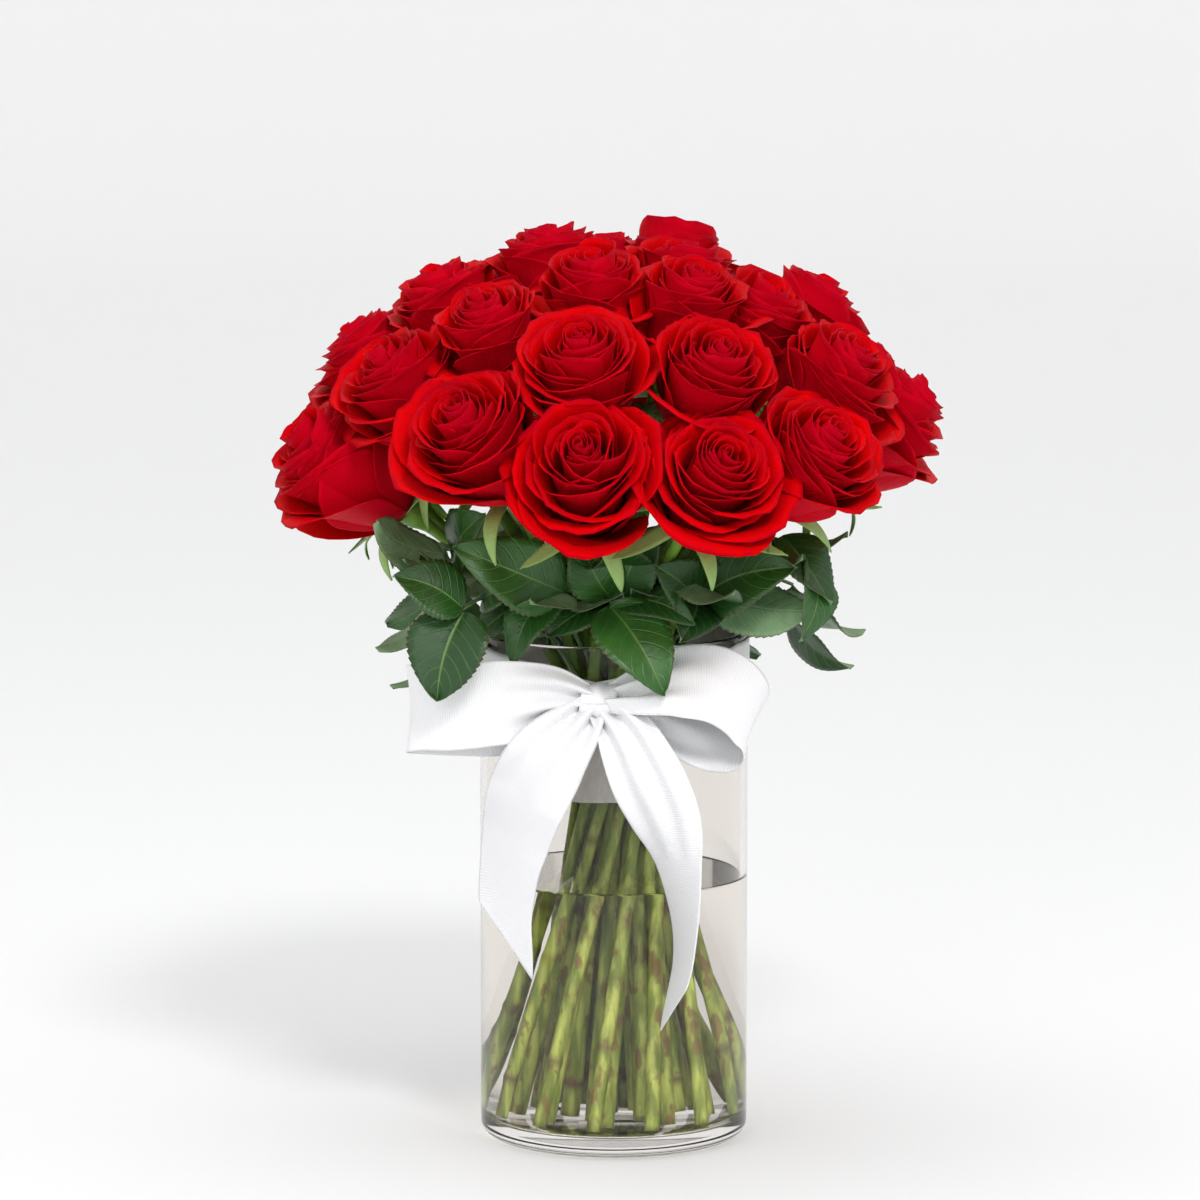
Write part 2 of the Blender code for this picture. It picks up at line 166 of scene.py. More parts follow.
class Gathering:
    """Collects sheets and rods into the one mesh of a piece, with values for its points."""

    def __init__(self, *keys):
        self.verts, self.faces = [], []
        self.values = {key: [] for key in keys}
        self.count = 0

    def add(self, verts, blocks, **values):
        self.verts.append(np.asarray(verts).reshape(-1, 3))
        added = len(self.verts[-1])
        for block in blocks:
            self.faces += (np.asarray(block) + self.count).tolist()
        for key, kept in self.values.items():
            kept.append(np.broadcast_to(np.asarray(values.get(key, 0.0), float).reshape(-1), added))
        self.count += added

    def add_sheet(self, grid, thickness, wrap=False, **values):
        """Adds a closed sheet. A value is a number, a grid, or a pair for its two sides."""
        for key, value in values.items():
            if isinstance(value, tuple):
                values[key] = np.repeat(value, grid[..., 0].size)
            else:
                values[key] = np.tile(np.broadcast_to(value, grid.shape[:2]).ravel(), 2)
        self.add(*closed_sheet(grid, thickness, wrap), **values)

    def piece(self, name, material, slot, *nodes):
        """The piece on the root body, which stands for the CAD nodes given."""
        mesh = new_mesh(name, np.concatenate(self.verts), self.faces, material)
        for key, kept in self.values.items():
            layer = mesh.attributes.new(key, "FLOAT", "POINT")
            layer.data.foreach_set("value", np.concatenate(kept).astype(np.float32))
        made = new_object(name, mesh)
        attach(made, "root")
        if nodes:
            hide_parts(*nodes)
        return made


def grid_quads(rows, columns, wrap=False):
    """Faces of a grid of points, closed round its columns if wrap is set."""
    j = np.arange(columns if wrap else columns - 1)
    i = np.arange(rows - 1)[:, None]
    k = (j + 1) % columns
    quads = [i * columns + j, i * columns + k, (i + 1) * columns + k, (i + 1) * columns + j]
    return np.stack(np.broadcast_arrays(*quads), axis=-1).reshape(-1, 4)


def closed_sheet(grid, thickness, wrap=False):
    """Points and faces of a thin closed sheet, from the grid of points along its middle.

    The first half of the points are on the side that the grid's rows cross columns face.
    """
    rows, columns = grid.shape[:2]
    if wrap:
        across = np.roll(grid, -1, axis=1) - np.roll(grid, 1, axis=1)
    else:
        across = np.gradient(grid, axis=1)
    normals = unit(np.cross(across, np.gradient(grid, axis=0)))
    half = np.broadcast_to(np.asarray(thickness) * 0.5, (rows, columns))[..., None] * normals
    verts = np.concatenate([(grid + half).reshape(-1, 3), (grid - half).reshape(-1, 3)])
    front = grid_quads(rows, columns, wrap)
    count = rows * columns
    index = np.arange(count).reshape(rows, columns)
    if wrap:
        loops = [index[0], index[-1, ::-1]]
    else:
        loops = [np.concatenate([index[0], index[1:, -1], index[-1, -2::-1], index[-2:0:-1, 0]])]
    rims = []
    for loop in loops:
        after = np.roll(loop, -1)
        rims.append(np.stack([after, loop, loop + count, after + count], axis=-1))
    return verts, [front, front[:, ::-1] + count, *rims]


def rod(line, radii, sides):
    """Points and faces of a round rod along a line of points, with closed ends."""
    line = np.asarray(line, float)
    direction = unit(np.gradient(line, axis=0))
    u = np.empty_like(line)
    u[0] = square_to(direction[0], np.array([1.0, 0.0, 0.0]))
    for i in range(1, len(line)):
        u[i] = square_to(direction[i], u[i - 1])
    v = np.cross(direction, u)
    turn = np.arange(sides) * 2 * pi / sides
    rings = u[:, None] * np.cos(turn)[:, None] + v[:, None] * np.sin(turn)[:, None]
    verts = line[:, None] + rings * np.asarray(radii, float).reshape(len(line), -1, 1)
    ring = np.arange(sides)
    ends = [ring[None, ::-1], ring[None] + (len(line) - 1) * sides]
    return verts, [grid_quads(len(line), sides, True), *ends]


def smooth_line(points, steps):
    """Points along a smooth curve through the ones given, which may have any number of columns."""
    points = np.asarray(points, float)
    padded = np.concatenate([2 * points[:1] - points[1:2], points, 2 * points[-1:] - points[-2:-1]])
    place = np.linspace(0, len(points) - 1, steps)
    i = np.minimum(place.astype(int), len(points) - 2)
    t = (place - i)[:, None]
    a, b, c, d = (padded[i + k] for k in range(4))
    return b + 0.5 * t * (c - a + t * (2 * a - 5 * b + 4 * c - d + t * (3 * (b - c) + d - a)))


def even_line(points, steps):
    """The smooth curve through the points, at even distances."""
    fine = smooth_line(points, steps * 8)
    gone = np.concatenate([[0], np.cumsum(np.linalg.norm(np.diff(fine[:, :3], axis=0), axis=1))])
    places = np.linspace(0, gone[-1], steps)
    return np.stack([np.interp(places, gone, column) for column in fine.T], axis=1), places


def bend(a, b, c, d, steps):
    """Points along the Bezier curve with these four points."""
    t = np.linspace(0, 1, steps)[:, None]
    return a * (1 - t) ** 3 + 3 * b * t * (1 - t) ** 2 + 3 * c * t * t * (1 - t) + d * t**3


# ---------- materials

def new_material(name):
    made = bpy.data.materials.new(name)
    made.use_nodes = True
    return made, made.node_tree, made.node_tree.nodes["Principled BSDF"]


def fill(tree, made, inputs):
    """Links or sets the inputs of a shader node."""
    for key, value in inputs.items():
        if isinstance(value, bpy.types.NodeSocket):
            tree.links.new(value, made.inputs[key])
        else:
            made.inputs[key].default_value = value


def node(tree, kind, inputs=(), **settings):
    """A shader node of this kind with its inputs and settings."""
    made = tree.nodes.new("ShaderNode" + kind)
    for key, value in settings.items():
        setattr(made, key, value)
    fill(tree, made, dict(inputs))
    return made


def calc(tree, what, a, b=0.0):
    return node(tree, "Math", {0: a, 1: b}, operation=what).outputs[0]


def times(tree, a, b):
    return calc(tree, "MULTIPLY", a, b)


def spread(tree, value, low, high, to_low=0.0, to_high=1.0):
    """The value taken smoothly from one range to another."""
    sockets = {"Value": value, "From Min": low, "From Max": high, "To Min": to_low, "To Max": to_high}
    return node(tree, "MapRange", sockets, interpolation_type="SMOOTHSTEP").outputs[0]


def blend(tree, share, a, b, how="MIX"):
    """Colour a turned into colour b by a share."""
    a, b = ((*x, 1.0) if isinstance(x, tuple) and len(x) == 3 else x for x in (a, b))
    return node(tree, "Mix", {0: share, 6: a, 7: b}, data_type="RGBA", blend_type=how).outputs[2]


def given(tree, key):
    """The value that a piece's points carry under this name."""
    return node(tree, "Attribute", attribute_name=key).outputs["Fac"]


def noise(tree, scale, detail=3.0, squash=(1.0, 1.0, 1.0)):
    place = node(tree, "TexCoord").outputs["Object"]
    held = node(tree, "Mapping", {"Vector": place, "Scale": squash}).outputs[0]
    return node(tree, "TexNoise", {"Vector": held, "Scale": scale, "Detail": detail}).outputs[0]


def bump(tree, shader, height, distance, strength=1.0):
    made = node(tree, "Bump", {"Height": height, "Distance": distance, "Strength": strength})
    tree.links.new(made.outputs[0], shader.inputs["Normal"])


def set_shader(tree, shader, **sockets):
    """Links or sets the inputs of a shader or group, named with _ for each space."""
    fill(tree, shader, {key.replace("_", " "): value for key, value in sockets.items()})


def group(name, inputs, outputs):
    """An empty shader node group with the named value inputs and outputs."""
    made = bpy.data.node_groups.new(name, "ShaderNodeTree")
    for key in inputs:
        made.interface.new_socket(key, in_out="INPUT", socket_type="NodeSocketFloat")
    for key in outputs:
        made.interface.new_socket(key, in_out="OUTPUT", socket_type="NodeSocketFloat")
    return made, made.nodes.new("NodeGroupInput").outputs, made.nodes.new("NodeGroupOutput").inputs


def vein_group():
    """Side veins that run outwards and forwards from a midrib, for leaves and petals."""
    wanted = ["Across", "Along", "Pairs", "Slope", "Width"]
    made, given_in, out = group("side veins", wanted, ["Vein", "Rib"])
    away = calc(made, "ABSOLUTE", given_in["Across"])
    curved = times(made, calc(made, "POWER", away, 1.25), given_in["Slope"])
    forward = calc(made, "SUBTRACT", given_in["Along"], curved)
    wave = calc(made, "FRACT", times(made, forward, given_in["Pairs"]))
    off = calc(made, "ABSOLUTE", calc(made, "SUBTRACT", wave, 0.5))
    vein = spread(made, off, 0.0, given_in["Width"], 1.0, 0.0)
    rib = spread(made, away, 0.0, 0.055, 1.0, 0.0)
    made.links.new(calc(made, "MAXIMUM", vein, rib), out["Vein"])
    made.links.new(rib, out["Rib"])
    return made


def mottle_group():
    """Cloudy patches and fine grain, for everything that grew."""
    made, given_in, out = group("mottling", ["Patch Scale", "Grain Scale"], ["Patches", "Grain"])
    place = node(made, "TexCoord").outputs["Object"]
    for scale, detail, key in (("Patch Scale", 2.0, "Patches"), ("Grain Scale", 4.0, "Grain")):
        sockets = {"Vector": place, "Scale": given_in[scale], "Detail": detail}
        cloud = node(made, "TexNoise", sockets)
        made.links.new(spread(made, cloud.outputs[0], 0.32, 0.68), out[key])
    return made


VEINS = vein_group()
MOTTLING = mottle_group()
# Share of the view that the water's top lets straight through
TOP_CLEAR = 0.45


def use_group(tree, which, **sockets):
    """The outputs of a shader node group that is given these inputs."""
    made = node(tree, "Group", node_tree=which)
    set_shader(tree, made, **sockets)
    return made.outputs


def petal_material():
    """Velvety red petals: brighter inside, crimson on the back, darker and dry along the lip."""
    made, tree, shader = new_material("velvet red petal")
    side, along, across = given(tree, "side"), given(tree, "along"), given(tree, "across")
    order, tint = given(tree, "order"), given(tree, "tint")
    mottling = use_group(tree, MOTTLING, Patch_Scale=70.0, Grain_Scale=1900.0)
    veins = use_group(tree, VEINS, Across=across, Along=along, Pairs=16.0, Slope=1.9, Width=0.3)

    inside = blend(tree, order, (0.80, 0.0006, 0.0009), (0.64, 0.0005, 0.0012))
    colour = blend(tree, side, inside, (0.58, 0.0008, 0.016))
    colour = blend(tree, times(tree, tint, 0.5), colour, (0.46, 0.0004, 0.004))
    colour = blend(tree, times(tree, mottling["Patches"], 0.3), colour, (0.5, 0.0006, 0.006))
    colour = blend(tree, times(tree, veins["Vein"], 0.16), colour, (0.36, 0.0005, 0.004))
    uneven = calc(tree, "ADD", along, times(tree, mottling["Patches"], 0.03))
    lip = spread(tree, uneven, 0.955, 1.02)
    colour = blend(tree, times(tree, lip, 0.45), colour, (0.22, 0.0008, 0.012))
    root = spread(tree, along, 0.0, 0.2, 0.5, 0.0)
    colour = blend(tree, root, colour, (0.5, 0.16, 0.02))
    set_shader(tree, shader, Base_Color=colour, Roughness=0.52,
               Sheen_Weight=0.25, Sheen_Roughness=0.4, Sheen_Tint=(1.0, 0.01, 0.02, 1.0),
               Specular_IOR_Level=0.08, Specular_Tint=(1.0, 0.06, 0.08, 1.0))
    grain = times(tree, mottling["Grain"], 0.35)
    bump(tree, shader, calc(tree, "ADD", grain, veins["Vein"]), 0.00012, 0.55)
    return made


def leaf_material():
    """Dark glossy rose leaves with pale veins, a matt pale back and reddish young edges."""
    made, tree, shader = new_material("glossy rose leaf")
    side, along, across, tint = (given(tree, key) for key in ("side", "along", "across", "tint"))
    mottling = use_group(tree, MOTTLING, Patch_Scale=90.0, Grain_Scale=1500.0)
    veins = use_group(tree, VEINS, Across=across, Along=along, Pairs=7.0, Slope=0.3, Width=0.1)

    top = blend(tree, tint, (0.007, 0.038, 0.006), (0.032, 0.13, 0.018))
    top = blend(tree, times(tree, mottling["Patches"], 0.45), top, (0.012, 0.06, 0.008))
    top = blend(tree, times(tree, veins["Vein"], 0.4), top, (0.07, 0.19, 0.045))
    top = blend(tree, times(tree, veins["Rib"], 0.75), top, (0.14, 0.26, 0.06))
    back = blend(tree, mottling["Patches"], (0.15, 0.27, 0.125), (0.2, 0.34, 0.17))
    back = blend(tree, times(tree, veins["Vein"], 0.5), back, (0.29, 0.42, 0.23))
    colour = blend(tree, side, top, back)
    edge = spread(tree, calc(tree, "ABSOLUTE", across), 0.93, 1.0)
    colour = blend(tree, times(tree, edge, 0.55), colour, (0.075, 0.05, 0.012))
    set_shader(tree, shader, Base_Color=colour, Roughness=spread(tree, side, 0.0, 1.0, 0.34, 0.62),
               Specular_IOR_Level=0.45, Coat_Weight=0.08, Coat_Roughness=0.3)
    grain = times(tree, mottling["Grain"], 0.3)
    bump(tree, shader, calc(tree, "SUBTRACT", grain, veins["Vein"]), 0.0003, 0.6)
    return made


def stem_material():
    """Green stems with lengthwise streaks and brown patches and scars; paler sepals and hips."""
    made, tree, shader = new_material("green rose stem")
    young, along, scar, pale = (given(tree, key) for key in ("young", "along", "scar", "pale"))
    mottling = use_group(tree, MOTTLING, Patch_Scale=85.0, Grain_Scale=900.0)
    streaks = noise(tree, 260.0, 3.0, (1.0, 1.0, 0.12))

    low = blend(tree, spread(tree, streaks, 0.35, 0.7), (0.15, 0.21, 0.026), (0.46, 0.54, 0.12))
    colour = blend(tree, along, low, (0.15, 0.29, 0.03))
    brown = spread(tree, noise(tree, 230.0, 5.0, (1.0, 1.0, 0.4)), 0.53, 0.63, 0.0, 0.8)
    brown = times(tree, brown, calc(tree, "SUBTRACT", 0.95, along))
    colour = blend(tree, brown, colour, (0.17, 0.085, 0.025))
    colour = blend(tree, scar, colour, (0.11, 0.06, 0.022))
    fresh = blend(tree, mottling["Patches"], (0.13, 0.29, 0.03), (0.24, 0.42, 0.07))
    fresh = blend(tree, times(tree, pale, 0.7), fresh, (0.28, 0.45, 0.15))
    colour = blend(tree, young, colour, fresh)
    set_shader(tree, shader, Base_Color=colour, Roughness=0.45, Specular_IOR_Level=0.4)
    height = calc(tree, "ADD", streaks, times(tree, mottling["Grain"], 0.4))
    bump(tree, shader, height, 0.0004, 0.5)
    return made


def clear_material(name, ior, tint, shine, smear):
    """Clear glass or water that lets light through to what is behind it."""
    made, tree, shader = new_material(name)
    smears = spread(tree, noise(tree, 22.0, 2.0), 0.5, 0.8, 0.0, smear)
    set_shader(tree, shader, Base_Color=(*tint, 1.0), Roughness=smears, IOR=ior, Transmission_Weight=1.0,
               Specular_Tint=(shine, shine, shine, 1.0))
    # A shadow takes the root of the tint at a surface, as it crosses two to pass a wall
    through = tuple(value**0.5 for value in tint)
    clear = node(tree, "BsdfTransparent", {"Color": (*through, 1.0)})
    shadow = node(tree, "LightPath").outputs["Is Shadow Ray"]
    straight = calc(tree, "MAXIMUM", shadow, times(tree, given(tree, "top"), TOP_CLEAR))
    mixed = node(tree, "MixShader", {0: straight, 1: shader.outputs[0], 2: clear.outputs[0]})
    tree.links.new(mixed.outputs[0], tree.nodes["Material Output"].inputs["Surface"])
    return made


def ribbon_material():
    """White grosgrain: fine ribs across the ribbon, with painted shade in the troughs between them, and a
    tight woven edge.
    """
    made, tree, shader = new_material("white grosgrain")
    run, across = given(tree, "run"), given(tree, "across")
    wave = calc(tree, "SINE", times(tree, run, 2 * pi))
    ribs = calc(tree, "ADD", times(tree, wave, 0.5), 0.5)
    yarn = noise(tree, 2600.0, 2.0)
    edge = spread(tree, calc(tree, "ABSOLUTE", across), 0.94, 0.99)
    # The troughs between the ribs are painted darker and the crests lighter: painted shade along the ribs
    colour = blend(tree, times(tree, ribs, 0.6), (0.80, 0.805, 0.825), (0.93, 0.932, 0.945))
    colour = blend(tree, times(tree, spread(tree, yarn, 0.4, 0.8), 0.18), colour, (0.66, 0.67, 0.70))
    colour = blend(tree, times(tree, edge, 0.4), colour, (0.74, 0.745, 0.76))
    set_shader(tree, shader, Base_Color=colour, Roughness=0.5, Sheen_Weight=0.25, Sheen_Roughness=0.3,
               Specular_IOR_Level=0.35)
    height = calc(tree, "ADD", ribs, times(tree, yarn, 0.3))
    bump(tree, shader, height, 0.00016, 0.55)
    return made


def paper_material():
    """The damp white paper round the stems: fibres and creases."""
    made, tree, shader = new_material("white florist's paper")
    fibres = noise(tree, 420.0, 5.0, (1.0, 1.0, 0.4))
    colour = blend(tree, spread(tree, fibres, 0.35, 0.7), (0.84, 0.85, 0.83), (0.94, 0.945, 0.935))
    set_shader(tree, shader, Base_Color=colour, Roughness=0.6, Specular_IOR_Level=0.3)
    bump(tree, shader, fibres, 0.0005, 0.6)
    return made


PETAL = petal_material()
LEAF = leaf_material()
STEM = stem_material()
GLASS = clear_material("clear glass", 1.45, (0.905, 0.88, 0.85), 0.4, 0.004)
WATER = clear_material("clear water", 1.33, (0.985, 0.985, 0.975), 0.85, 0.001)
RIBBON = ribbon_material()
PAPER = paper_material()


# ---------- roses

def lean(share, order, opened):
    """A petal's angle from the flower's axis, in radians, at places along it."""
    rows = [np.interp(order, LEAN_PETALS, row) for row in LEAN_CLOSED + opened * LEAN_OPENED]
    return np.radians(np.interp(share, LEAN_PLACES, rows))


def petal_profile(order, opened, length):
    """Distance from the axis and height at even steps along a petal."""
    angle = lean(np.linspace(0, 1, PROFILE_STEPS + 1), order, opened)
    middle = (angle[1:] + angle[:-1]) / 2
    step = np.interp(order, LEAN_PETALS, PETAL_LENGTHS) * length / PROFILE_STEPS
    away = np.concatenate([[0], np.cumsum(np.sin(middle))]) * step
    height = np.concatenate([[0], np.cumsum(np.cos(middle))]) * step
    return away, height


def petal(order, bearing, opened, length, radius, narrowing, rng):
    """The grid of one petal in the flower's own frame, axis up, rows from its root to its lip."""
    away, height = petal_profile(order, opened, length)
    away = (1 + 4 * order) * MM + away * narrowing
    across = np.sin(np.linspace(-1, 1, PETAL_ACROSS) * pi / 2)
    corners = 1 - np.sqrt(np.maximum(1 - across**6, 0))
    lip = 1 - (0.02 + 0.11 * order**2) * np.abs(across) ** 3 - (0.03 + 0.12 * order**2) * corners
    lip = lip + 0.02 * np.exp(-((across / 0.16) ** 2)) * order
    notches = 0.011 * np.sin(5 * across + rng.uniform(0, 6)) + 0.004 * rng.normal(size=PETAL_ACROSS)
    lip = lip + notches * (0.4 + order)
    along = np.linspace(0, 1, PETAL_ALONG)[:, None] ** 0.85 * lip
    place = np.linspace(0, 1, PROFILE_STEPS + 1)
    reach = np.interp(along, place, away)
    rise = np.interp(along, place, height)
    half_width = np.interp(order, LEAN_PETALS, PETAL_HALF_WIDTHS) * radius * (1 + 0.08 * rng.normal())
    broad = 0.3 + 0.7 * np.sin(np.clip(along / 0.62, 0, 1) * pi / 2)
    turn = np.clip(half_width * broad / np.maximum(reach, 2 * MM), 0, 2.7)
    around = bearing + across * turn

    phase = rng.uniform(0, 2 * pi, 3)
    ruffle = np.sin(2.6 * pi * across + phase[0]) + 0.6 * np.sin(4.3 * pi * across + phase[1])
    ruffle = ruffle * (0.25 + 0.75 * order) * 0.75 * MM * along**4
    curl = (0.4 + 3.8 * order**2) * MM * np.abs(across) ** 3 * along**2.2
    spiral = (0.7 + 1.5 * order) * MM * across * along
    bulge = (0.2 + 0.9 * order) * MM * np.sin(pi * along) * np.cos(1.7 * pi * across + phase[2])
    reach = reach + ruffle + curl + spiral + bulge
    rise = rise + 0.5 * ruffle - 0.5 * curl
    grid = np.stack([reach * np.cos(around), reach * np.sin(around), rise], axis=-1)
    return grid, np.broadcast_to(across, along.shape), along


def tilt(grid, angles):
    """The grid turned a little about its foot, by angles round the two flat axes."""
    a, b = angles
    x, y, z = np.moveaxis(grid, -1, 0)
    y, z = y * cos(a) - z * sin(a), y * sin(a) + z * cos(a)
    x, z = x * cos(b) + z * sin(b), -x * sin(b) + z * cos(b)
    return np.stack([x, y, z], axis=-1)


def stand_on(grid, base, axis):
    """The grid moved from the flower's own frame to its base and axis."""
    side = square_to(axis, np.array([0.2, 1.0, 0.1]))
    return base + grid[..., :1] * side + grid[..., 1:2] * np.cross(axis, side) + grid[..., 2:] * axis


def lifted(base, axis, length):
    """Base and axis of a head turned up to the light about its middle."""
    centre = base + axis * length * 0.5
    axis = unit(axis + UP * HEAD_LIFT * (1 - axis[2]))
    return centre - axis * length * 0.5, axis


def rose(name, base, axis, radius, length, opened, seed, *nodes):
    """A rose head of overlapping petals, from the rolled heart to the outside."""
    rng = np.random.default_rng(seed)
    out = Gathering("along", "across", "order", "tint", "side")
    narrowing = []
    for order, reach in ((1.0, INNER_REACH), (OUTERMOST_ORDER, OUTER_REACH)):
        widest = petal_profile(order, opened, length)[0].max() + 1.5 * MM
        narrowing.append(min(1.0, (reach * radius - 5 * MM) / widest))
    turned = rng.uniform(0, 2 * pi)
    shade = rng.uniform(0, 0.4)
    for k in range(PETALS + OUTERMOST):
        order = k / (PETALS - 1) if k < PETALS else OUTERMOST_ORDER
        bearing = turned + k * GOLDEN_TURN + rng.normal() * 0.12
        grown = length * (1 + 0.03 * rng.normal())
        spread_out = opened
        # The outermost differ most, and open further on a head that faces up
        if k >= PETALS:
            spread_out = opened + rng.uniform(-1.0, 0.2) + 0.6 * axis[2] ** 2
        facing = stand_on(outward(bearing), np.zeros(3), axis)
        # Outer petals on the low side of a head hang out further
        hang = -facing[2] * max(0.0, order - 0.8) * 0.5
        spread_out, grown = spread_out + 0.5 * hang, grown * (1 + 0.14 * hang)
        narrow = np.interp(order, [1.0, OUTERMOST_ORDER], narrowing)
        grid, across, along = petal(order, bearing, spread_out, grown, radius, narrow, rng)
        grid = tilt(grid, rng.normal(size=2) * radians(1.0 + 2.4 * order))
        thickness = PETAL_THICKNESS * (1.5 - 0.7 * along)
        out.add_sheet(stand_on(grid, base, axis), thickness, along=along, across=across,
                      order=order, tint=shade + rng.uniform(0, 0.6), side=(1.0, 0.0))
    return out.piece(name, PETAL, "petal", *nodes)


def hip_radius(back):
    """Radius of the swelling under a flower at a distance back from its top."""
    return np.interp(back / MM, HIP_BACK, HIP_RADII) * MM


def add_sepals(out, base, axis, rng):
    """Five pointed sepals that bend back from the top of the hip."""
    across = np.linspace(-1, 1, 5)
    along = np.linspace(0, 1, 14)[:, None]
    for k in range(5):
        bearing = 2 * pi * (k + 0.15 * rng.normal()) / 5
        length = rng.uniform(29, 38) * MM
        angle = np.interp(along[:, 0], [0, 0.3, 1], [78, rng.uniform(60, 108), rng.uniform(40, 172)])
        step = length / (len(along) - 1)
        reach = 4.6 * MM + np.cumsum(np.sin(np.radians(angle))) * step
        rise = -1.0 * MM + np.cumsum(np.cos(np.radians(angle))) * step
        width = 4.7 * MM * (1 - along[:, 0]) ** 0.9 * (0.7 + 1.3 * along[:, 0]) + 0.25 * MM
        sideways = width[:, None] * across + 2 * MM * rng.normal() * along**2
        cupped = 0.6 * MM * across**2
        out_of = np.array([cos(bearing), sin(bearing)])
        beside = np.array([-out_of[1], out_of[0]])
        flat = (reach[:, None] - cupped)[..., None] * out_of + sideways[..., None] * beside
        grid = np.concatenate([flat, np.broadcast_to(rise[:, None, None], (*sideways.shape, 1))], axis=-1)
        out.add_sheet(stand_on(grid, base, axis), SEPAL_THICKNESS, young=1.0, along=1.0, pale=(0.0, 1.0))


def rose_stem(name, foot, binding, base, axis, seed, *nodes):
    """A stem from its cut end through the binding to the hip under its flower."""
    rng = np.random.default_rng(seed)
    out = Gathering("young", "along", "scar", "pale")
    pull = STEM_PULL * np.linalg.norm(base - binding)
    straight = unit(binding - foot)
    foot = foot + straight * FOOT_CLEAR
    lower = foot + (binding - foot) * np.linspace(0, 1, 44)[:-1, None]
    upper = bend(binding, binding + straight * pull, base - axis * pull, base, 56)
    line = np.concatenate([lower, upper])
    gone = np.concatenate([[0], np.cumsum(np.linalg.norm(np.diff(line, axis=0), axis=1))])
    back = gone[-1] - gone
    radii = np.interp(gone, [0, 0.11, gone[-1]], STEM_RADII) * MM
    radii = np.maximum(radii, hip_radius(back))
    scar = np.zeros(len(line))
    for place in np.arange(rng.uniform(0.01, 0.05), gone[-1] - 0.03, rng.uniform(0.042, 0.06)):
        scar = np.maximum(scar, np.exp(-(((gone - place) / 0.0016) ** 2)))
    young = np.interp(back, [0, 6 * MM, 26 * MM], [1.0, 0.75, 0.0])
    turn = np.arange(STEM_SIDES) * 2 * pi / STEM_SIDES
    bumps = 1 + 0.28 * scar[:, None] * (0.4 + 0.6 * np.cos(turn + rng.uniform(0, 6)))
    bumps = bumps + 0.025 * np.sin(3 * turn + 40 * gone[:, None])
    verts, blocks = rod(line, radii[:, None] * bumps, STEM_SIDES)
    along = np.clip((gone - 0.10) / 0.12, 0, 1)
    young, scar, along = (np.repeat(value, STEM_SIDES) for value in (young, scar * 0.9, along))
    out.add(verts, blocks, young=young, scar=scar, along=along)
    add_sepals(out, base, axis, rng)
    return out.piece(name, STEM, "stem", *nodes)


def points_of(name):
    return np.array([v.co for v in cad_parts[name].data.vertices], float)


def head_frame(number):
    """Base, axis, radius and length of a CAD head, with its stem's foot and binding."""
    head, stem = points_of(f"rose_head_{number}"), points_of(f"rose_stem_{number}")
    centre = head.mean(axis=0)
    rings = np.unique(stem.round(6), axis=0)
    nearest = np.argsort(np.linalg.norm(rings - centre, axis=1))[:7]
    base = rings[nearest].mean(axis=0)
    axis = unit(centre - base)
    off = head - base
    up = off @ axis
    radius = np.linalg.norm(off - up[:, None] * axis, axis=1).max()
    foot = rings[rings[:, 2] < rings[:, 2].min() + 3 * MM].mean(axis=0)
    binding = rings[np.abs(rings[:, 2] - BINDING) < 5 * MM].mean(axis=0)
    return base, axis, radius, up.max(), foot, binding


def make_roses():
    for i, opened in enumerate(OPENED):
        number = f"{i + 1:02d}"
        base, axis, radius, length, foot, binding = head_frame(number)
        base, axis = lifted(base, axis, length)
        rose(f"rose_{number}", base, axis, radius, length, opened, 40 + i, f"rose_head_{number}")
        rose_stem(f"stem_{number}", foot, binding, base, axis, 90 + i, f"rose_stem_{number}")
    for i, (bearing, elevation, radius, opened, foot_radius, foot_bearing) in enumerate(MORE_ROSES):
        a, e = radians(bearing), radians(elevation)
        flat = outward(a)
        face = DOME_CENTRE * UP + DOME_RADIUS * cos(e) * flat + DOME_RISE * sin(e) * UP
        axis = unit(flat * cos(e) / DOME_RADIUS + UP * sin(e) / DOME_RISE)
        radius = radius * MM
        base, axis = lifted(face - axis * HEAD_LENGTH * radius, axis, HEAD_LENGTH * radius)
        foot_turn = radians(foot_bearing)
        foot = (outward(foot_turn) * foot_radius + FOOT_HEIGHT * UP) * MM
        inwards = outward(foot_turn + BINDING_TURN) * BINDING_SHARE * foot_radius * MM
        binding = inwards + BINDING * UP
        number = f"{len(OPENED) + i + 1:02d}"
        rose(f"rose_{number}", base, axis, radius, HEAD_LENGTH * radius, opened, 70 + i)
        rose_stem(f"stem_{number}", foot, binding, base, axis, 130 + i)


# ---------- leaves

LEAFLET_STATIONS = 61
LEAFLET_ACROSS = 11
LEAFLET_TEETH = 15
LEAFLET_THICKNESS = 0.42 * MM
LEAFLET_ARCH = 0.10
LEAFLET_FOLD = 0.10
STALK_RADIUS = 1.15 * MM

# Leaves round the sides and back: bearing, height of the start, length, rise, fall and size.
# All start this far from the axis, and the first three stand for CAD leaves.
ARCH_START = 30
ARCHES = [
    (22, 236, 62, 42, -30, 1.0), (84, 236, 64, 40, -34, 1.05), (149, 236, 64, 42, -32, 1.0),
    (-14, 232, 56, 46, -36, 0.9), (52, 228, 52, 48, -44, 0.92), (116, 230, 55, 44, -42, 0.95),
    (180, 232, 58, 42, -34, 0.92), (-158, 226, 52, 45, -38, 0.85), (-112, 236, 50, 50, 2, 0.9),
    (-62, 236, 50, 52, 4, 0.9), (-140, 244, 46, 48, 12, 0.9), (-90, 240, 40, 62, 26, 0.9),
    (-38, 244, 48, 50, 10, 0.9), (5, 246, 48, 50, 8, 0.9), (65, 246, 50, 50, 6, 0.95),
    (130, 246, 50, 50, 6, 0.95), (172, 246, 48, 50, 8, 0.9),
]


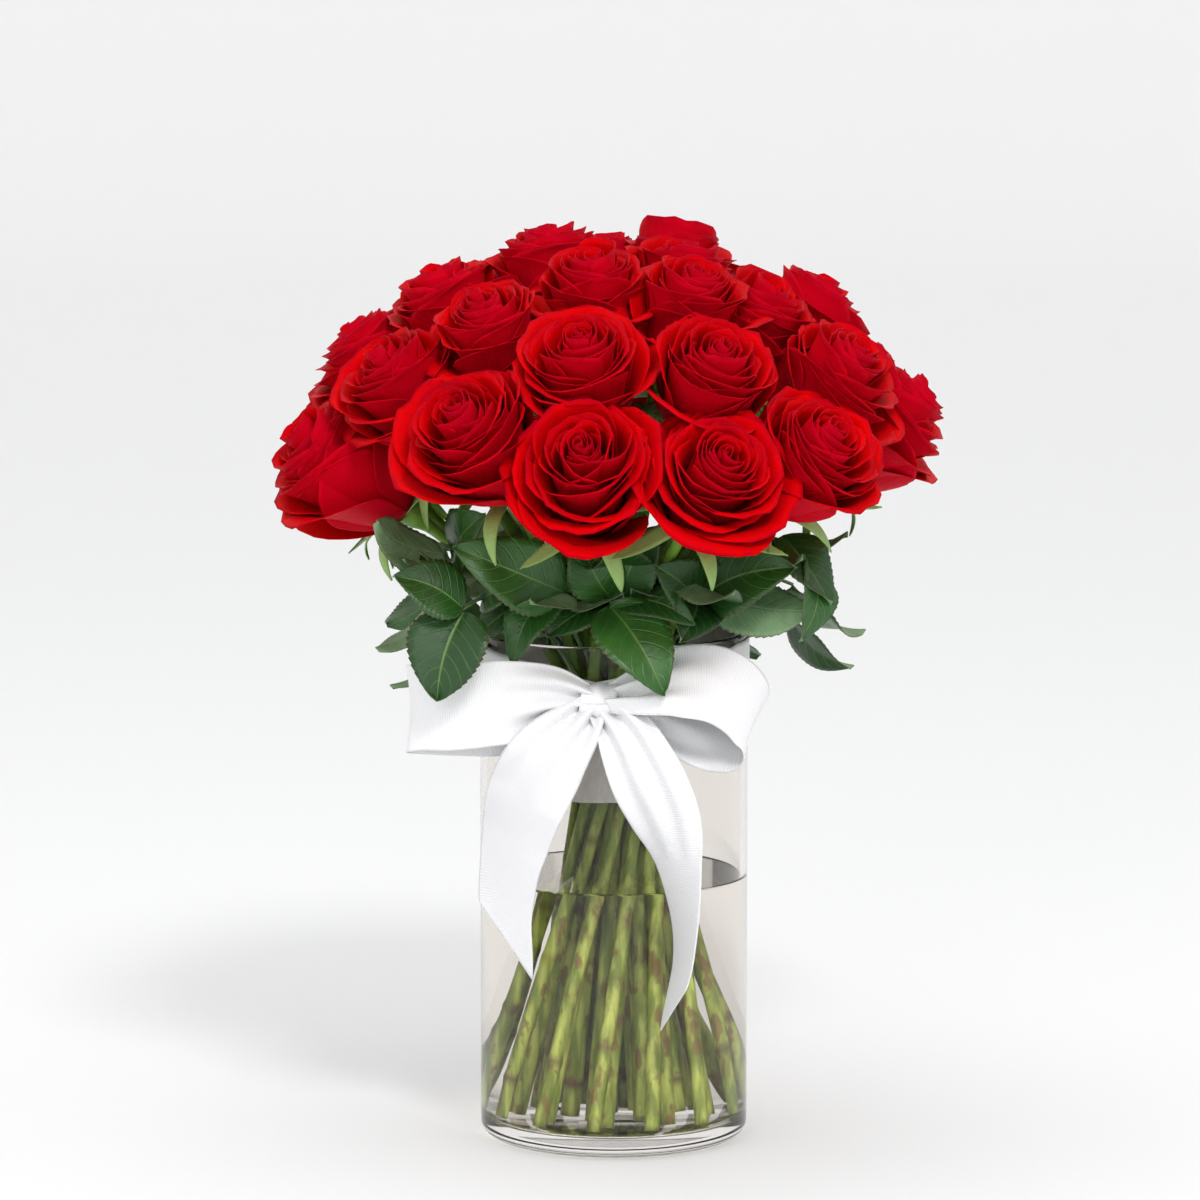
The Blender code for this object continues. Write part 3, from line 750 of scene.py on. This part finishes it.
def add_leaflet(out, base, tip, facing, breadth, rng):
    """A saw-edged leaflet from its base to its tip, in mm, whose top faces the way given."""
    base, tip = np.asarray(base, float) * MM, np.asarray(tip, float) * MM
    length = np.linalg.norm(tip - base)
    forward = (tip - base) / length
    top = square_to(forward, np.asarray(facing, float))
    sideways = np.cross(forward, top)
    along = np.linspace(0, 1, LEAFLET_STATIONS)
    across = np.linspace(-1, 1, LEAFLET_ACROSS)
    outline = np.sin(pi * along**0.76) ** 0.62 * (1 - 0.12 * along) * (1 - 0.2 * along**8)
    tooth = 1 - ((along * LEAFLET_TEETH) % 1.0)
    half = 0.5 * breadth * MM * outline
    teeth = 0.075 * tooth * np.minimum(1, outline * 2)
    edge = np.abs(across) ** 5
    width = half[:, None] * (1 + teeth[:, None] * edge)
    a, s = np.broadcast_arrays(across, along[:, None])
    bowed = LEAFLET_ARCH * length * (4 * s * (1 - s))
    phase = rng.uniform(0, 6)
    quilt = 0.45 * MM * np.abs(np.sin(pi * 7 * (s - 0.3 * np.abs(a) ** 1.25))) * (1 - np.abs(a) ** 4)
    wave = 0.035 * length * np.sin(5 * s + phase) * a + 0.02 * length * np.cos(9 * s + phase) * a**2
    fold = LEAFLET_FOLD * breadth * MM * np.abs(a) ** 1.3
    lift = bowed + fold + quilt * np.minimum(1, 4 * np.abs(a)) + wave
    lift = lift - 0.12 * length * s**3 - 0.03 * breadth * MM * a**2
    bent = 0.04 * length * np.sin(pi * s) * rng.normal()
    grid = (base + forward * (s * length)[..., None] + sideways * (a * width + bent)[..., None]
            + top * lift[..., None])
    out.add_sheet(grid, LEAFLET_THICKNESS, along=s, across=a, side=(0.0, 1.0), tint=rng.uniform())


def add_stalk(out, points):
    """A leaf stalk through points in mm."""
    line = smooth_line(np.asarray(points, float) * MM, 6 * len(points))
    radii = np.linspace(1, 0.7, len(line)) * STALK_RADIUS
    verts, blocks = rod(line, radii[:, None], 7)
    out.add(verts, blocks, along=0.5, across=0.02, side=0.3, tint=0.9)


def placed_leaf(name, seed, stalk, leaflets, *nodes):
    """A leaf from its stalk's points and a row of base, tip, facing and breadth a leaflet, in mm."""
    rng = np.random.default_rng(seed)
    out = Gathering("along", "across", "side", "tint")
    add_stalk(out, stalk)
    for base, tip, facing, breadth in leaflets:
        add_leaflet(out, base, tip, facing, breadth, rng)
    return out.piece(name, LEAF, "leaf", *nodes)


# Leaflets of a whole leaf: share of the stalk, angle from the stalk, and size
LEAFLET_PLACES = [(1.0, 0, 1.0), (0.72, 68, 0.85), (0.66, -70, 0.86), (0.3, 82, 0.72), (0.24, -84, 0.7)]


def whole_leaf(name, seed, bearing, start, length, rise, fall, size, *nodes):
    """A five-part leaf that leaves the stems at a bearing and arches over.

    Start is the distance from the axis and the height, in mm, and rise and fall are the stalk's
    first and last angles above the level, in degrees.
    """
    rng = np.random.default_rng(seed)
    out = Gathering("along", "across", "side", "tint")
    flat = outward(radians(bearing))
    angles = np.radians(np.linspace(rise, fall, 13))
    steps = (np.cos(angles)[:, None] * flat + np.sin(angles)[:, None] * UP) * length / 12
    line = flat * start[0] + UP * start[1] + np.concatenate([[[0, 0, 0]], np.cumsum(steps, axis=0)])
    add_stalk(out, line[::2])
    for share, angle, scale in LEAFLET_PLACES:
        i = min(int(share * 13), 12)
        forward = unit(steps[i])
        top = unit(np.cross(np.cross(flat, UP), forward)) * -1
        sideways = np.cross(top, forward)
        turn = radians(angle + 6 * rng.normal())
        heading = forward * cos(turn) + sideways * sin(turn) - UP * 0.18
        long = 40 * size * scale * (1 + 0.07 * rng.normal())
        tip = line[i] + unit(heading) * long
        add_leaflet(out, line[i], tip, top + 0.25 * rng.normal(size=3), 0.8 * long, rng)
    return out.piece(name, LEAF, "leaf", *nodes)


def make_leaves():
    placed_leaf("leaf_left", 1, [(-14, -14, 205), (-34, -38, 238), (-55, -62, 252), (-66, -80, 250)], [
        ((-65, -81, 249), (-78, -93, 212), (-0.25, -1, 0.25), 37),
        ((-66, -80, 250), (-95, -84, 266), (-0.1, -0.8, 0.7), 27),
        ((-57, -66, 252), (-36, -84, 262), (0.1, -0.8, 0.7), 24),
    ], "leaf_01")
    placed_leaf("leaf_left_high", 2, [(-8, -16, 210), (-20, -40, 240), (-24, -62, 256)], [
        ((-22, -70, 256), (-67, -94, 279), (-0.2, -1, 0.35), 33),
        ((-25, -62, 256), (-45, -80, 227), (-0.45, -1, 0.1), 22),
        ((-26, -60, 254), (-62, -66, 236), (-0.3, -0.9, 0.5), 24),
    ])
    placed_leaf("leaf_middle", 3, [(2, -12, 210), (0, -36, 240), (-2, -58, 252)], [
        ((-2, -60, 252), (-15, -72, 288), (0.3, -1, 0.2), 27),
        ((-1, -58, 250), (-30, -68, 238), (-0.1, -0.7, 0.8), 22),
        ((2, -57, 252), (18, -70, 284), (-0.2, -1, 0.3), 27),
    ], "leaf_02")
    placed_leaf("leaf_middle_low", 4, [(4, -14, 215), (4, -40, 243), (-2, -66, 249)], [
        ((-2, -68, 249), (22, -96, 217), (0.15, -1, 0.5), 34),
        ((2, -64, 250), (34, -82, 246), (0.2, -0.8, 0.6), 20),
    ])
    placed_leaf("leaf_right", 5, [(14, -12, 210), (30, -34, 240), (40, -56, 252)], [
        ((38, -54, 251), (77, -74, 268), (-0.25, -1, 0.35), 33),
        ((34, -60, 250), (20, -80, 268), (0.3, -1, 0.3), 26),
        ((36, -56, 251), (30, -84, 238), (0.35, -0.9, 0.5), 24),
        ((42, -50, 252), (86, -60, 244), (0.2, 0.8, -0.6), 30),
    ], "leaf_03")
    placed_leaf("leaf_right_high", 6, [(18, -8, 215), (46, -28, 252), (72, -44, 276)], [
        ((74, -46, 277), (96, -66, 252), (0.45, -0.7, 0.55), 26),
        ((86, -52, 268), (84, -76, 236), (0.7, -0.6, 0.25), 20),
        ((70, -42, 275), (60, -70, 262), (0.1, -0.8, 0.7), 24),
    ])
    placed_leaf("leaf_left_pale", 7, [(-16, -6, 215), (-52, -28, 258), (-76, -44, 274)], [
        ((-74, -50, 270), (-106, -77, 286), (0.3, 0.8, -0.55), 27),
        ((-74, -44, 273), (-93, -70, 268), (0.1, 0.9, -0.5), 28),
        ((-70, -40, 271), (-60, -70, 290), (-0.2, -0.9, 0.4), 28),
    ])
    for i, (bearing, height, length, rise, fall, size) in enumerate(ARCHES):
        nodes = [f"leaf_{i + 4:02d}"] if i < 3 else []
        start = (ARCH_START, height)
        whole_leaf(f"leaf_arch_{i + 1}", 20 + i, bearing, start, length, rise, fall, size, *nodes)


# ---------- vase, water and wrap

GLASS_SIDES = 160


def arc(centre, radius, start, stop, steps):
    """Outline points, distance from the axis and height, along a quarter or so of a round."""
    turn = np.radians(np.linspace(start, stop, steps))
    return [(centre[0] + radius * cos(t), centre[1] + radius * sin(t)) for t in turn]


def spun(outline, sides):
    """Rings of points round the axis, one for each point of the outline."""
    turn = np.arange(sides) * 2 * pi / sides
    ring = np.stack([np.cos(turn), np.sin(turn)], axis=-1)
    height = np.broadcast_to(outline[:, None, 1:], (len(outline), sides, 1))
    return np.concatenate([outline[:, None, :1] * ring, height], axis=-1).reshape(-1, 3)


def turned(outline, sides):
    """Points and faces of a solid turned round the axis, from an outline that starts and ends on it."""
    outline = np.array(outline)
    body = outline[1:-1]
    ends = [[0, 0, outline[0, 1]], [0, 0, outline[-1, 1]]]
    verts = np.concatenate([spun(body, sides), ends])
    j = np.arange(sides)
    k = (j + 1) % sides
    low, high = len(verts) - 2, len(verts) - 1
    last = (len(body) - 1) * sides
    fans = [np.stack([k, j, np.full(sides, low)], axis=-1),
            np.stack([last + j, last + k, np.full(sides, high)], axis=-1)]
    return verts, [grid_quads(len(body), sides, True), *fans]


def make_vase():
    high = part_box("vase")[1]
    radius, height = high.x, high.z
    wall, floor, foot_round, inner_round, rim = 3 * MM, 9 * MM, 7 * MM, 5 * MM, 1.5 * MM
    inner = radius - wall
    outline = [(0, 1.2 * MM), (radius * 0.55, 1.0 * MM), (radius * 0.78, 0.25 * MM), (radius * 0.84, 0.0)]
    outline += arc((radius - foot_round, foot_round), foot_round, -85, 0, 12)
    outline += [(radius, z * MM) for z in (30, 70, 110, 150, 190)]
    outline += arc((radius - rim, height - rim), rim, 0, 180, 13)
    outline += [(inner, z * MM) for z in (190, 150, 110, 70, 30)]
    outline += arc((inner - inner_round, floor + inner_round), inner_round, 0, -85, 10)
    outline += [(inner * 0.8, floor - 0.05 * MM), (inner * 0.4, floor - 0.15 * MM), (0, floor - 0.2 * MM)]
    out = Gathering()
    out.add(*turned(outline, GLASS_SIDES))
    out.piece("glass_vase", GLASS, "vase_glass", "vase")

    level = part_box("water")[1].z
    inner += 0.12 * MM
    bottom = floor - 0.3 * MM
    outline = [(0, bottom), (inner * 0.5, bottom), (inner * 0.86, bottom)]
    outline += arc((inner - inner_round, bottom + inner_round), inner_round, -80, 0, 9)
    outline += [(inner, 50 * MM), (inner, 90 * MM), (inner, level - 0.6 * MM), (inner, level + 0.5 * MM)]
    outline += [(inner - 0.35 * MM, level + 0.15 * MM), (inner - 1.0 * MM, level)]
    outline += [(inner - 1.8 * MM, level), (inner * 0.5, level), (0, level)]
    out = Gathering("top")
    verts, blocks = turned(outline, GLASS_SIDES)
    out.add(verts, blocks, top=np.abs(verts[:, 2] - level) < 0.01 * MM)
    out.piece("vase_water", WATER, "water", "water")


def make_wrap():
    """Paper wound once and a bit round the bound stems, with creases."""
    low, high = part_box("stem_wrap")
    rng = np.random.default_rng(8)
    turns = np.linspace(0, 2 * pi * 1.12, 150)
    rise = np.linspace(0, 1, 22)[:, None]
    radius = (high.x - low.x) / 2 + 0.15 * MM + 0.5 * MM * turns / (2 * pi)
    phases = zip((5, 11, 17), rng.uniform(0, 6, 3))
    creases = sum(0.35 * MM * np.sin(n * turns + phase + 3 * rise) for n, phase in phases)
    waist = 1.1 * MM * (2 * rise - 1) ** 2
    reach = radius + creases * 0.6 + waist
    x = (low.x + high.x) / 2 + reach * np.cos(turns)
    y = (low.y + high.y) / 2 + reach * np.sin(turns)
    edge = 0.8 * MM * np.sin(2 * turns + 1) * (2 * rise - 1)
    z = low.z + (high.z - low.z) * rise + edge
    out = Gathering()
    out.add_sheet(np.stack([x, y, np.broadcast_to(z, x.shape)], axis=-1)[::-1], 0.4 * MM)
    out.piece("paper_wrap", PAPER, "wrap", "stem_wrap")


# ---------- ribbon

RIBBON_WIDTH = 38 * MM
RIBBON_THICKNESS = 0.5 * MM
RIB_PITCH = 1.05 * MM
STRIP_ACROSS = 33
# Waves of the pleats across the width, and the most that one rises
PLEATS = 2.5
PLEAT_RISE = 3.4 * MM
BAND_HEIGHT = 207 * MM
BAND_RADIUS = 60.8 * MM
BAND_KNOT_BEARING = radians(-97)
KNOT_RADIUS = 7 * MM

# Direction across the right loop, which leans back
LEANING = (0.35, 0.62, 0.7)
# Middle line of each strip in mm, the direction across it, and the share of its width that
# is open there
LEFT_LOOP = [
    ((-10, -73, 209), (0, -0.1, 1), 0.3),
    ((-28, -78, 211), (0, -0.1, 1), 0.72),
    ((-50, -80, 208.5), (0, -0.1, 1), 1),
    ((-72, -77, 206), (0, 0, 1), 1),
    ((-86, -70, 205), (0, 0, 1), 1),
    ((-90, -62, 203), (0, 0, 1), 1),
    ((-85, -55, 201), (0, 0, 1), 1),
    ((-70, -53, 200), (0, 0.1, 1), 1),
    ((-48, -57.5, 200), (0, 0.1, 1), 0.95),
    ((-28, -63, 203), (0, 0.1, 1), 0.7),
    ((-11, -67, 206), (0, 0, 1), 0.3),
]
RIGHT_LOOP = [
    ((-3, -73, 209), LEANING, 0.3),
    ((12, -77, 214), LEANING, 0.68),
    ((28, -78, 217.5), LEANING, 0.95),
    ((44, -76, 216), LEANING, 1),
    ((56, -70, 208), LEANING, 1),
    ((60.5, -65, 198), LEANING, 1),
    ((56, -61, 191), LEANING, 1),
    ((45, -59, 192), (0.35, 0.5, 0.7), 1),
    ((31, -62, 197), (0.35, 0.4, 0.7), 0.9),
    ((15, -66, 203), (0.35, 0.3, 0.7), 0.6),
    ((-3, -67, 207), (0.35, 0.2, 0.7), 0.3),
]
LEFT_TAIL = [
    ((-9, -72, 206), (-0.8, 0, 0.6), 0.35),
    ((-17, -80, 198), (-0.85, 0, 0.5), 0.65),
    ((-29, -82, 184), (-0.95, 0.15, 0.2), 0.92),
    ((-39, -71, 164), (-0.8, 0.55, 0), 1),
    ((-45, -55, 142), (-0.68, 0.73, 0), 1),
    ((-48, -45, 118), (-0.62, 0.78, 0), 1),
    ((-48, -43, 96), (-0.62, 0.78, 0), 1),
]
RIGHT_TAIL = [
    ((-5, -73, 205), (0.85, -0.1, 0.5), 0.35),
    ((4, -80, 196), (0.9, -0.15, 0.4), 0.65),
    ((14, -82, 176), (0.93, -0.3, 0.2), 0.88),
    ((22.5, -81, 157), (0.8, -0.55, 0.1), 0.97),
    ((28, -80, 138), (0.55, -0.83, 0), 1),
    ((31, -80, 115), (0.33, -0.94, 0), 1),
    ((30.5, -80, 95), (0.2, -0.98, 0), 1),
    ((26, -80, 72), (0.15, -0.98, 0), 1),
]
TAIL_SLANT = 14 * MM


def ribbon_piece(name, grid, run, across, wrap=False):
    """A sheet of ribbon over the grid, with how far along and across it each point lies."""
    out = Gathering("run", "across")
    out.add_sheet(grid, RIBBON_THICKNESS, wrap, run=run / RIB_PITCH, across=across)
    made = out.piece(name, RIBBON, "ribbon", "ribbon")


def pleat_depth(share):
    """How deep the pleats are that take up the width that isn't open."""
    slope = np.sqrt(np.maximum(2 * (1 / share**2 - 1), 0))
    return slope * share * RIBBON_WIDTH / (2 * pi * PLEATS)


def ribbon_strip(name, route, steps, seed, slant=0.0):
    """A strip of ribbon along a route, pleated where it isn't open, with a slanted end."""
    rng = np.random.default_rng(seed)
    rows = np.array([(*point, *direction, share) for point, direction, share in route], float)
    rows[:, :3] *= MM
    line, gone = even_line(rows, steps)
    middle, share = line[:, :3], np.clip(line[:, 6], 0.28, 1.0)
    forward = unit(np.gradient(middle, axis=0))
    sideways = square_to(forward, line[:, 3:6])
    out_of = np.cross(forward, sideways)
    across = np.linspace(-1, 1, STRIP_ACROSS)
    depth = np.minimum(pleat_depth(share), PLEAT_RISE)
    pleats = depth[:, None] * np.sin(pi * PLEATS * across + rng.uniform(0, 6))
    bowed = 0.7 * MM * (1 - across**2) * np.sin(gone[:, None] / gone[-1] * pi)
    shift = slant * across * np.linspace(0, 1, steps)[:, None] ** 4
    grid = (middle[:, None] + sideways[:, None] * (across * share[:, None] * RIBBON_WIDTH / 2)[..., None]
            + out_of[:, None] * (pleats + bowed)[..., None] + forward[:, None] * shift[..., None])
    ribbon_piece(name, grid, gone[:, None] + shift, across)


def make_band():
    """The ribbon round the vase under its rim, drawn together towards the knot in front."""
    steps = 181
    bearing = np.linspace(0, 2 * pi, steps, endpoint=False) + BAND_KNOT_BEARING
    off = np.abs((bearing - BAND_KNOT_BEARING + pi) % (2 * pi) - pi)
    share = np.interp(off, [0, radians(30), radians(70), pi], [0.4, 0.78, 1.0, 1.0])
    middle_height = BAND_HEIGHT + np.interp(np.sin(bearing), [-1, 1], [0.5, 1.5]) * MM
    across = np.linspace(-1, 1, 17)[:, None]
    pleats = 0.75 * pleat_depth(share) * (1 + np.sin(pi * PLEATS * across + 0.7))
    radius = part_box("vase")[1].x + 0.5 * MM + pleats
    height = middle_height + across * share * RIBBON_WIDTH / 2
    grid = np.stack([radius * np.cos(bearing), radius * np.sin(bearing), height], axis=-1)
    length = 2 * pi * BAND_RADIUS
    run = bearing / (2 * pi) * length
    ribbon_piece("ribbon_band", grid, run, across, wrap=True)


def make_knot():
    """The knot: a turn of ribbon gathered over the crossing strips."""
    centre = np.array([-7, -70, 208]) * MM
    turn = np.linspace(0, 2 * pi, 57, endpoint=False)
    across = np.linspace(-1, 1, 77)[:, None]
    # The middle shows, and both sides are folded under it
    half, fold = 7.2 * MM, 0.6 * MM
    past = np.abs(across) * RIBBON_WIDTH / 2 - half
    rolled = np.clip(past / fold, 0, pi)
    beyond = np.maximum(past - pi * fold, 0)
    wide = np.where(past < 0, half + past, half + fold * np.sin(rolled) - beyond)
    under = fold * (1 - np.cos(rolled)) + 0.03 * beyond
    x_off = np.sign(across) * wide
    crease = 0.45 * MM * np.sin(x_off / (1.25 * MM) + 1.5 * np.sin(turn + 0.6) + 0.8)
    bulge = 0.9 * MM * (1 - (x_off / half) ** 2)
    deep = 6.4 * MM - under + bulge + crease
    x = centre[0] + x_off + 0.9 * MM * np.sin(turn)
    y = centre[1] - deep * np.cos(turn)
    z = centre[2] + (deep + 0.3 * MM) * np.sin(turn)
    grid = np.stack(np.broadcast_arrays(x, y, z), axis=-1)
    length = 2 * pi * KNOT_RADIUS
    run = turn / (2 * pi) * length
    ribbon_piece("ribbon_knot", grid, run, across, wrap=True)


def make_ribbon():
    make_band()
    ribbon_strip("ribbon_left_loop", LEFT_LOOP, 120, 3)
    ribbon_strip("ribbon_right_loop", RIGHT_LOOP, 110, 4)
    ribbon_strip("ribbon_left_tail", LEFT_TAIL, 90, 5, -TAIL_SLANT)
    ribbon_strip("ribbon_right_tail", RIGHT_TAIL, 90, 6, -TAIL_SLANT)
    make_knot()


# ---------- studio

def make_studio():
    """A pale round sweep, a broad soft light from the right, and the camera."""
    scene = bpy.context.scene
    sweep, tree, shader = new_material("pale sweep")
    place = node(tree, "TexCoord").outputs["Object"]
    away = node(tree, "VectorMath", {0: place}, operation="LENGTH").outputs["Value"]
    # Painted darker near the vase, where the lights fall strongest, and lighter towards the far wall,
    # which gets less light: painted light and shade that evens out the sweep
    colour = blend(tree, spread(tree, away, 0.8, 5.0), (0.80, 0.805, 0.81), (0.905, 0.905, 0.91))
    set_shader(tree, shader, Base_Color=colour, Roughness=0.85, Specular_IOR_Level=0.1)
    profile = [(0.02, 0.0), (0.5, 0.0), (1.5, 0.0), (4.2, 0.0)]
    profile += [(4.2 + 1.4 * sin(t), 1.4 - 1.4 * cos(t)) for t in np.linspace(0.12, pi / 2, 12)]
    profile += [(5.6, 3.4)]
    sides = 96
    verts = spun(np.array(profile), sides) - UP * SWEEP_DROP
    walls = grid_quads(len(profile), sides, True)[:, ::-1]
    faces = [list(range(sides)), *walls.tolist()]
    floor = new_object("sweep", new_mesh("sweep", verts, faces, sweep))

    world = bpy.data.worlds.new("studio")
    world.use_nodes = True
    background = world.node_tree.nodes["Background"]
    set_shader(world.node_tree, background, Color=(1.0, 1.0, 1.0, 1.0), Strength=0.91)
    scene.world = world

    # Name, place, width, height, watts and colour of each light
    aim = Vector((0, 0, 0.24))
    lights = [
        ("key", (0.8, -3.0, 3.05), 0.8, 0.8, 74, (1.0, 0.985, 0.965)),
        ("front", (-0.9, -3.4, 1.5), 1.6, 1.2, 18, (1.0, 1.0, 1.0)),
        ("top", (-0.4, 0.1, 2.4), 1.8, 1.8, 7, (1.0, 1.0, 1.0)),
    ]
    for name, place, width, height, watts, colour in lights:
        light = bpy.data.lights.new(name, "AREA")
        light.shape, light.size, light.size_y = "RECTANGLE", width, height
        light.energy, light.color = watts, colour
        lamp = new_object(name, light)
        lamp.location = place
        lamp.rotation_euler = (aim - Vector(place)).to_track_quat("-Z", "Y").to_euler()

    camera = bpy.data.cameras.new("camera")
    camera.lens, camera.sensor_width = CAMERA_LENS, 36.0
    camera.clip_start, camera.clip_end = 0.1, 30.0
    stand = new_object("camera", camera)
    stand.location = CAMERA_AT
    stand.rotation_euler = (radians(90 - CAMERA_DOWN), 0, 0)
    scene.camera = stand
    scene.view_settings.view_transform = "Standard"


make_studio()
make_vase()
make_wrap()
make_roses()
make_leaves()
make_ribbon()
